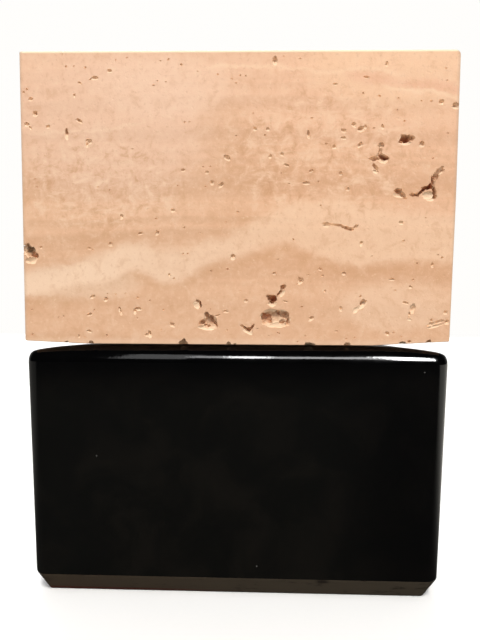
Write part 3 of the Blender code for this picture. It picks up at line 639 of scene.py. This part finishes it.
# The pale bed, fainter to the right, with a darker one under it
from_top = minus(nodes, frayed, bed_line(PALE_BED_TOP))
from_foot = minus(nodes, frayed, bed_line(PALE_BED_FOOT))
below_top = ramp(nodes, from_top, -3.2, 1.2, 1.0, 0.0)
above_foot = ramp(nodes, from_foot, -1.3, 2.2)
pale_bed = times(nodes, above_foot, below_top, ramp(nodes, x, -46, -14, 1.0, 0.66))
colour = tint(nodes, pale_bed, colour, PALE_CREAM)
under_bed = times(nodes, ramp(nodes, from_foot, -7.0, 0.2), minus(nodes, 1.0, above_foot))
colour = tint(nodes, times(nodes, under_bed, 0.40), colour, OCHRE)

# The redder bed and the thin pale lines: where each starts and ends, its half width and its strength
colour = tint(nodes, vein(RED_BED, 30, 66, 2.4), colour, BRICK)
for points, start, end, half_width, strength in (
    (TOP_LINE, -8, 44, 0.9, 0.62),
    (RIGHT_LINE, 40, 62, 0.9, 0.90),
    (LEFT_LINE, -56, -26, 0.8, 0.50),
):
    line = vein(points, start, end, half_width)
    colour = tint(nodes, times(nodes, line, strength), colour, PALE_CREAM)

# Curdled crumbs and slanted wisps, strongest right of the middle and low on the left
curdled = largest(nodes, patch((24, 50), (34, 22)), patch((-38, 42), (28, 16)))
curds = cloud(nodes, place, 0.30, 6, 0.66, 0.5)
share = calc(nodes, "MULTIPLY_ADD", curdled, 0.42, 0.32)
colour = tint(nodes, times(nodes, ramp(nodes, curds, 0.47, 0.70), share), colour, PALE_CREAM)
colour = tint(nodes, times(nodes, ramp(nodes, curds, 0.51, 0.30), share), colour, OCHRE)
slant = {"Vector": place, "Rotation": (0, math.radians(40), 0), "Scale": (0.3, 0.5, 1)}
slanted = add(nodes, "Mapping", slant).outputs[0]
wisps = ramp(nodes, cloud(nodes, slanted, 0.62, 4, 0.6, 0.5), 0.52, 0.68)
colour = tint(nodes, times(nodes, wisps, curdled, 0.42), colour, PALE_CREAM)

# The whole stone is redder towards the right, and painted light makes it lighter towards the top
right_part = times(nodes, ramp(nodes, x, -22, 22, 0.0, 0.9), ramp(nodes, z, 8, 30, 0.35, 1.0))
colour = tint(nodes, right_part, colour, REDDER_SIDE, "MULTIPLY")
colour = tint(nodes, ramp(nodes, z, 52, 80), colour, PAINTED_TOP_LIGHT, "MULTIPLY")

# Fine flecks: pale ones, partly calcite and partly painted glints, and darker ochre ones
flecks = cloud(nodes, place, 0.95, 3, 0.6)
colour = tint(nodes, ramp(nodes, flecks, 0.56, 0.78, 0.0, 0.42), colour, PALE_FLECK_AND_GLINT)
colour = tint(nodes, ramp(nodes, flecks, 0.45, 0.28, 0.0, 0.34), colour, OCHRE)

# How deep a point lies below the sawn faces, in millimetres, run-outs included
right_cut, left_cut, side_cut = RUN_OUTS
underside = 0.0
for start, _, lean in (right_cut, left_cut):
    rise = times(nodes, minus(nodes, x, start), math.tan(math.radians(lean)))
    underside = largest(nodes, underside, rise)
_, lean_top, lean = side_cut
leaning_in = times(nodes, largest(nodes, minus(nodes, lean_top, z), 0.0), math.tan(math.radians(90 - lean)))
outside = largest(
    nodes,
    minus(nodes, underside, z),
    minus(nodes, z, STONE_HEIGHT),
    plus(nodes, minus(nodes, x, STONE_WIDTH / 2), leaning_in),
    minus(nodes, -STONE_WIDTH / 2, x),
    minus(nodes, calc(nodes, "ABSOLUTE", y), STONE_DEPTH / 2),
)
sunk = times(nodes, outside, -1.0)

# Lips are pale, partly from wear and partly a painted highlight where the lower lips catch the light; painted
# shade darkens the pore walls brown as they go down, and makes the left edge's cavity darkest
colour = tint(nodes, ramp(nodes, sunk, 0.03, 0.12, 0.0, 0.62), colour, PALE_LIP_AND_HIGHLIGHT)
wall = ramp(nodes, sunk, 0.38, 1.30)
wall_shade = ramp(nodes, cloud(nodes, place, 0.75, 3, 0.6), 0.36, 0.60, 0.50, 0.85)
colour = tint(nodes, times(nodes, wall, wall_shade), colour, PAINTED_PORE_SHADE)
colour = tint(nodes, ramp(nodes, sunk, 1.3, 2.6, 0.0, 0.85), colour, PAINTED_DEEP_SHADE)
behind_front = plus(nodes, y, STONE_DEPTH / 2)
cavity = times(nodes, patch((-59.5, 26.2), (4.0, 3.6)), wall, 0.8, ramp(nodes, behind_front, 0.4, 1.2))
colour = tint(nodes, cavity, colour, PAINTED_CAVITY_SHADE)

# The front's arrises: rubbed pale along the foot, a painted highlight along the sunlit top, and darker down
# both sides
near_front = ramp(nodes, behind_front, 0.9, 0.4)
near_foot = ramp(nodes, z, 2.2, 0.6)
near_top = ramp(nodes, minus(nodes, STONE_HEIGHT, z), 1.0, 0.5)
near_side = ramp(nodes, minus(nodes, STONE_WIDTH / 2, calc(nodes, "ABSOLUTE", x)), 1.1, 0.3)
colour = tint(nodes, times(nodes, near_front, near_foot, 0.4), colour, PALE_CREAM)
colour = tint(nodes, times(nodes, near_front, near_top, 0.8), colour, PAINTED_ARRIS_HIGHLIGHT)
colour = tint(nodes, times(nodes, near_front, near_side, 0.35), colour, DARKER_SIDE_ARRIS)

# Sugary grain, dimples too small to cut, and crystals on the walls of the pores
grain = times(nodes, cloud(nodes, place, 2.6, 3, 0.65), 0.5)
dimples = add(nodes, "TexVoronoi", {"Vector": place, "Scale": 0.55}).outputs["Distance"]
dimples = times(nodes, ramp(nodes, dimples, 0.05, 0.22), 0.35)
crystals = times(nodes, cloud(nodes, place, 1.3, 4, 0.7), wall, 2.2)
relief = plus(nodes, dimples, grain, crystals)
bump = add(nodes, "Bump", {"Height": relief, "Distance": 0.12 * MM, "Strength": 0.7})
shader = add(nodes, "BsdfPrincipled", {
    "Base Color": colour,
    "Roughness": ramp(nodes, flecks, 0.3, 0.7, 0.50, 0.68),
    "Normal": bump.outputs[0],
    "IOR": 1.48,
    "Specular IOR Level": 0.30,
})
add(nodes, "OutputMaterial", {"Surface": shader.outputs[0]})
stone.data.materials.clear()
stone.data.materials.append(travertine)
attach(stone, "root")
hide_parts("travertine_block")

# Black stand
# A block of wood under thick black lacquer, 121 x 41.5 x 74 mm: round upright corners, a rolled top that
# drops towards both ends, and a chamfered foot where the lacquer is dull. The stone just rests on it.
STAND_WIDTH = 120.6 * MM
STAND_DEPTH = 41.5 * MM
STAND_HEIGHT = 73.7 * MM
STAND_TURN = math.radians(-0.6)
CORNER_RADIUS = 4.5 * MM
CORNER_FACETS = 12
# How much narrower each side is at the foot than at the shoulder
SIDE_TAPER = 0.85 * MM
# The roll round the top: how far it goes down and in, and how many rings it is made of
TOP_ROLL = 5.2 * MM
ROLL_REACH = 4.0 * MM
ROLL_RINGS = 14
# The drop of the top towards both ends, which fades out down the roll, and the cuts that let it bend
END_DROP = 2.1 * MM
END_LENGTH = 21 * MM
END_FADE = 3
END_CUTS = 24
# Where the first cut lies, as a share of the dropping length
FIRST_CUT = 0.16
FOOT_HEIGHT = 6.2 * MM
FOOT_CHAMFER = 3.8 * MM
FOOT_ARRIS = 0.4 * MM
FOOT_ARRIS_FACETS = 4
FOOT_ARRIS_TURN, STAND_CREASE = math.radians(28), math.radians(40)

shoulder = STAND_HEIGHT - TOP_ROLL
body_height = shoulder - FOOT_HEIGHT
block = bmesh.new()
bmesh.ops.create_cube(block, size=1.0)
size = Matrix.Diagonal((STAND_WIDTH, STAND_DEPTH, body_height, 1.0))
lift = Matrix.Translation((0, 0, FOOT_HEIGHT + body_height / 2))
bmesh.ops.transform(block, matrix=lift @ size, verts=block.verts)
bmesh.ops.bevel(
    block,
    geom=[edge for edge in block.edges if edge.verts[0].co.xy == edge.verts[1].co.xy],
    offset=CORNER_RADIUS,
    segments=CORNER_FACETS,
    profile=0.5,
    affect="EDGES",
    material=-1,
)

# The roll round the top, ring by ring
for ring in range(ROLL_RINGS):
    low = math.pi / 2 * ring / ROLL_RINGS
    high = math.pi / 2 * (ring + 1) / ROLL_RINGS
    lid = max(block.faces, key=lambda face: face.normal.z * face.calc_area())
    bmesh.ops.inset_region(
        block,
        faces=[lid],
        thickness=ROLL_REACH * (math.cos(low) - math.cos(high)),
        depth=TOP_ROLL * (math.sin(high) - math.sin(low)),
        use_even_offset=True,
    )

# Cuts across both ends of the top, where it then drops, while the sides taper towards the foot
for cut in range(1, END_CUTS + 1):
    for end in (-1, 1):
        top = [face for face in block.faces if face.calc_center_median().z > shoulder]
        edges = {edge for face in top for edge in face.edges}
        corners = {vertex for face in top for vertex in face.verts}
        inwards = FIRST_CUT + (1 - FIRST_CUT) * cut / END_CUTS
        bmesh.ops.bisect_plane(
            block,
            geom=top + list(edges) + list(corners),
            plane_co=(end * (STAND_WIDTH / 2 - inwards * END_LENGTH), 0, 0),
            plane_no=(1, 0, 0),
        )
for vertex in block.verts:
    if vertex.co.z > shoulder:
        reach = max(0.0, abs(vertex.co.x) - STAND_WIDTH / 2 + END_LENGTH) / END_LENGTH
        up_the_roll = (vertex.co.z - shoulder) / TOP_ROLL
        vertex.co.z -= END_DROP * reach * reach * up_the_roll ** END_FADE
    elif vertex.co.z < STAND_HEIGHT / 2:
        vertex.co.x -= math.copysign(SIDE_TAPER, vertex.co.x)
        vertex.co.y -= math.copysign(SIDE_TAPER, vertex.co.y)

# The chamfered foot, with its arrises a little worn, and the block's turn under the stone
base = min(block.faces, key=lambda face: face.normal.z * face.calc_area())
bmesh.ops.inset_region(block, faces=[base], thickness=FOOT_CHAMFER, depth=FOOT_HEIGHT, use_even_offset=True)
foot_edges = [
    edge for edge in block.edges
    if edge.calc_face_angle() > FOOT_ARRIS_TURN and max(v.co.z for v in edge.verts) < FOOT_HEIGHT + MM
]
bmesh.ops.bevel(
    block,
    geom=foot_edges,
    offset=FOOT_ARRIS,
    segments=FOOT_ARRIS_FACETS,
    profile=0.5,
    affect="EDGES",
    material=-1,
)
bmesh.ops.rotate(block, cent=(0, 0, 0), matrix=Matrix.Rotation(STAND_TURN, 3, "Z"), verts=block.verts)
stand = place_piece(block, "lacquered_stand")
stand.data.shade_smooth()
stand.data.set_sharp_from_angle(angle=STAND_CREASE)
flats = stand.modifiers.new("flat faces stay flat", "WEIGHTED_NORMAL")
flats.keep_sharp = True

BLACK = (0.0038, 0.0038, 0.0034)
SMEARED_BLACK = (0.0065, 0.0058, 0.0048)
PAINTED_SHADE_BLACK = (0.0010, 0.0010, 0.0012)
DULL_FOOT_AND_REFLECTION = (0.088, 0.070, 0.050)
SCUFFED_FOOT = (0.028, 0.021, 0.015)
BROWN_FOOT = (0.074, 0.046, 0.028)
RED_EDGE = (0.100, 0.014, 0.009)
DUST = (0.20, 0.20, 0.19)

# Smeared gloss over the block, with painted shade making it deepest black towards the top and the right
lacquer, nodes = new_finish("black lacquer")
place = millimetres(nodes, (0, 0, 0))
x, _, z = add(nodes, "SeparateXYZ", {"Vector": place}).outputs
smears = cloud(nodes, place, 0.06, 4, 0.6, 0.8)
colour = tint(nodes, ramp(nodes, smears, 0.4, 0.7), BLACK, SMEARED_BLACK)
painted_shade = largest(nodes, ramp(nodes, z, 56, 70), ramp(nodes, x, 20, 50, 0.0, 0.7))
colour = tint(nodes, painted_shade, colour, PAINTED_SHADE_BLACK)

# The chamfered foot: dull, scuffed lacquer whose brown is partly a painted reflection of a brown floor, with
# a red line low on its left
foot = ramp(nodes, z, FOOT_HEIGHT / MM - 0.15, FOOT_HEIGHT / MM + 0.1, 1.0, 0.0)
scuffs = ramp(nodes, cloud(nodes, millimetres(nodes, (0, 0, 0), (0.4, 0.4, 1.4)), 0.35, 4, 0.7), 0.55, 0.72)
dull = tint(nodes, scuffs, DULL_FOOT_AND_REFLECTION, SCUFFED_FOOT)
dull = tint(nodes, ramp(nodes, x, -60, 30, 0.45, 0.0), dull, BROWN_FOOT)
red_line = times(nodes, ramp(nodes, z, 1.5, 0.6), ramp(nodes, z, 0.05, 0.25), ramp(nodes, x, 5, -35), 0.8)
dull = tint(nodes, red_line, dull, RED_EDGE)
colour = tint(nodes, foot, colour, dull)

# A few specks of dust, and slow ripples in the lacquer
specks = add(nodes, "TexVoronoi", {"Vector": place, "Scale": 0.13})
lit_cell = ramp(nodes, add(nodes, "SeparateColor", {"Color": specks.outputs["Color"]}).outputs[0], 0.72, 0.74)
speck = times(nodes, ramp(nodes, specks.outputs["Distance"], 0.018, 0.032, 1.0, 0.0), lit_cell, 0.5)
colour = tint(nodes, speck, colour, DUST)
gloss = largest(nodes, ramp(nodes, smears, 0.3, 0.75, 0.10, 0.22), times(nodes, foot, 0.5))
slow_ripple = cloud(nodes, place, 0.05, 2, 0.5)
ripple = calc(nodes, "MULTIPLY_ADD", cloud(nodes, place, 0.9, 3, 0.6), 0.20, slow_ripple)
bump = add(nodes, "Bump", {"Height": ripple, "Distance": 0.25 * MM, "Strength": 0.25})
shader = add(nodes, "BsdfPrincipled", {
    "Base Color": colour,
    "Roughness": gloss,
    "Normal": bump.outputs[0],
    "Specular IOR Level": 0.10,
    "Coat Weight": 1.0,
    "Coat Roughness": 0.05,
    "Coat Normal": bump.outputs[0],
})
add(nodes, "OutputMaterial", {"Surface": shader.outputs[0]})
stand.data.materials.append(lacquer)
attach(stand, "root")
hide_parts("stand")

# Studio
# A wide pale floor under plain soft daylight, which comes from above and a little from the right.
# Seen in the lacquer, the room is dim; the floor and the paper behind it are white to the camera.
FLOOR_REACH = 6.0
# The paper's colours: to the camera, mirrored in the lacquer, and lighting the object from below
PAPER, PALER_PAPER = (0.960, 0.965, 0.970), (0.980, 0.985, 0.990)
FLOOR_IN_SHADE, FLOOR_IN_LIGHT = (0.015, 0.015, 0.015), (0.42, 0.41, 0.38)
FLOOR_GLOW = (0.30, 0.29, 0.27)
sweep = bmesh.new()
bmesh.ops.create_grid(sweep, x_segments=1, y_segments=1, size=FLOOR_REACH)
floor = place_piece(sweep, "pale_floor")
paper, nodes = new_finish("pale paper")
path = add(nodes, "LightPath")
place = millimetres(nodes, (0, 0, 0))
x, y, _ = add(nodes, "SeparateXYZ", {"Vector": place}).outputs
seen = tint(nodes, cloud(nodes, place, 0.8, 3), PAPER, PALER_PAPER)
beside = calc(nodes, "MULTIPLY_ADD", y, 0.9, calc(nodes, "ABSOLUTE", x))
lit_side = times(nodes, ramp(nodes, beside, 30, 260), ramp(nodes, x, -120, 120, 0.25, 1.0))
mirrored = tint(nodes, lit_side, FLOOR_IN_SHADE, FLOOR_IN_LIGHT)
unseen = tint(nodes, path.outputs["Is Glossy Ray"], FLOOR_GLOW, mirrored)
colour = tint(nodes, path.outputs["Is Camera Ray"], unseen, seen)
shader = add(nodes, "BsdfPrincipled", {"Base Color": colour, "Roughness": 0.9, "Specular IOR Level": 0.0})
add(nodes, "OutputMaterial", {"Surface": shader.outputs[0]})
floor.data.materials.append(paper)

# The room: white to the camera, soft on the stone, and dark in the lacquer but for a glow from behind
DAYLIGHT = (1.0, 0.99, 0.97, 1.0)
SKY_LIGHT = 0.54
DARK_WALLS, GLOW_BEHIND = 0.006, 0.16
room = bpy.data.worlds.new("soft daylight")
bpy.context.scene.world = room
room.use_nodes = True
room.node_tree.nodes.clear()
nodes = room.node_tree
path = add(nodes, "LightPath")
_, back, up = add(nodes, "SeparateXYZ", {"Vector": add(nodes, "TexCoord").outputs["Generated"]}).outputs
behind = times(nodes, ramp(nodes, back, 0.0, 0.6), ramp(nodes, up, 0.75, 0.15))
walls = calc(nodes, "MULTIPLY_ADD", behind, GLOW_BEHIND, DARK_WALLS)
strength = plus(
    nodes,
    times(nodes, path.outputs["Is Glossy Ray"], walls),
    times(nodes, path.outputs["Is Diffuse Ray"], SKY_LIGHT),
    path.outputs["Is Camera Ray"],
)
sky = add(nodes, "Background", {"Color": DAYLIGHT, "Strength": strength})
add(nodes, "OutputWorld", {"Surface": sky.outputs[0]})


def shine(name, kind, energy, colour):
    """A light of that kind, in the scene."""
    light = bpy.data.lights.new(name, kind)
    light.energy = energy
    light.color = colour
    lamp = bpy.data.objects.new(name, light)
    bpy.context.scene.collection.objects.link(lamp)
    return lamp


def sun_from(name, azimuth, elevation, energy, spread, colour):
    """A sun that far round to the right of the front and that far above the horizon, in degrees."""
    sun = shine(name, "SUN", energy, colour)
    sun.data.angle = math.radians(spread)
    round_it, up = math.radians(azimuth), math.radians(elevation)
    towards = Vector((math.sin(round_it) * math.cos(up), -math.cos(round_it) * math.cos(up), math.sin(up)))
    sun.rotation_euler = towards.to_track_quat("Z", "Y").to_euler()
    return sun


key = sun_from("key", 10, 55, 2.45, 15, (1.0, 0.97, 0.93))
key.visible_glossy = False
sun_from("back fill", 190, 50, 1.2, 40, (0.95, 0.97, 1.0))
front = sun_from("front fill", -20, 20, 0.3, 60, (1.0, 0.98, 0.96))
front.visible_glossy = False

# Windows seen only as reflections, in a row before and above the roll: across, width, height and power
MIRRORING_ROLL = Vector((0, -0.021, 0.070))
WINDOWS_AHEAD, WINDOWS_UP = 0.46, 0.285
for name, across, width, height, power in (
    ("window far left", -0.13, 0.10, 0.24, 0.10),
    ("window left", -0.062, 0.05, 0.10, 0.07),
    ("window middle", -0.009, 0.055, 0.10, 0.42),
    ("window right of middle", 0.096, 0.15, 0.10, 0.34),
    ("window right", 0.212, 0.08, 0.18, 1.8),
):
    window = shine(name, "AREA", power, (1.0, 1.0, 1.0))
    window.data.shape = "RECTANGLE"
    window.data.size = width
    window.data.size_y = height
    window.location = MIRRORING_ROLL + Vector((across, -WINDOWS_AHEAD, WINDOWS_UP))
    window.rotation_euler = (window.location - MIRRORING_ROLL).to_track_quat("Z", "Y").to_euler()
    window.visible_diffuse = False
    window.visible_camera = False

# Camera
# At the photograph's place: 143 mm from the stone's front and level with its foot, looking a little down.
# Its lens is a wide one, 29 mm on a 36 mm frame, and the frame is shifted up a little.
LENS_PIXELS = 510
FRAME_HEIGHT = 640
PRINCIPAL_ROW = 363
SENSOR_WIDTH = 36
CAMERA_PLACE = Vector((4.04, -163.43, 78.3)) * MM
CAMERA_YAW, CAMERA_PITCH, CAMERA_ROLL = -1.16, 3.78, 0.38
yaw, pitch, roll = (math.radians(angle) for angle in (CAMERA_YAW, CAMERA_PITCH, CAMERA_ROLL))
ahead = Vector((math.sin(yaw) * math.cos(pitch), math.cos(yaw) * math.cos(pitch), -math.sin(pitch)))
right = Vector((math.cos(yaw), -math.sin(yaw), 0))
up = right.cross(ahead)
across = right * math.cos(roll) + up * math.sin(roll)
upward = up * math.cos(roll) - right * math.sin(roll)
lens = bpy.data.cameras.new("camera")
lens.sensor_width = SENSOR_WIDTH
lens.lens = SENSOR_WIDTH * LENS_PIXELS / FRAME_HEIGHT
lens.shift_y = (PRINCIPAL_ROW - FRAME_HEIGHT / 2) / FRAME_HEIGHT
lens.clip_start = 5 * MM
camera = bpy.data.objects.new("camera", lens)
turn = Matrix((across, upward, -ahead)).transposed().to_4x4()
camera.matrix_world = Matrix.Translation(CAMERA_PLACE) @ turn
bpy.context.scene.collection.objects.link(camera)
bpy.context.scene.camera = camera
bpy.context.scene.view_settings.view_transform = "Standard"
bpy.context.scene.view_settings.look = "None"
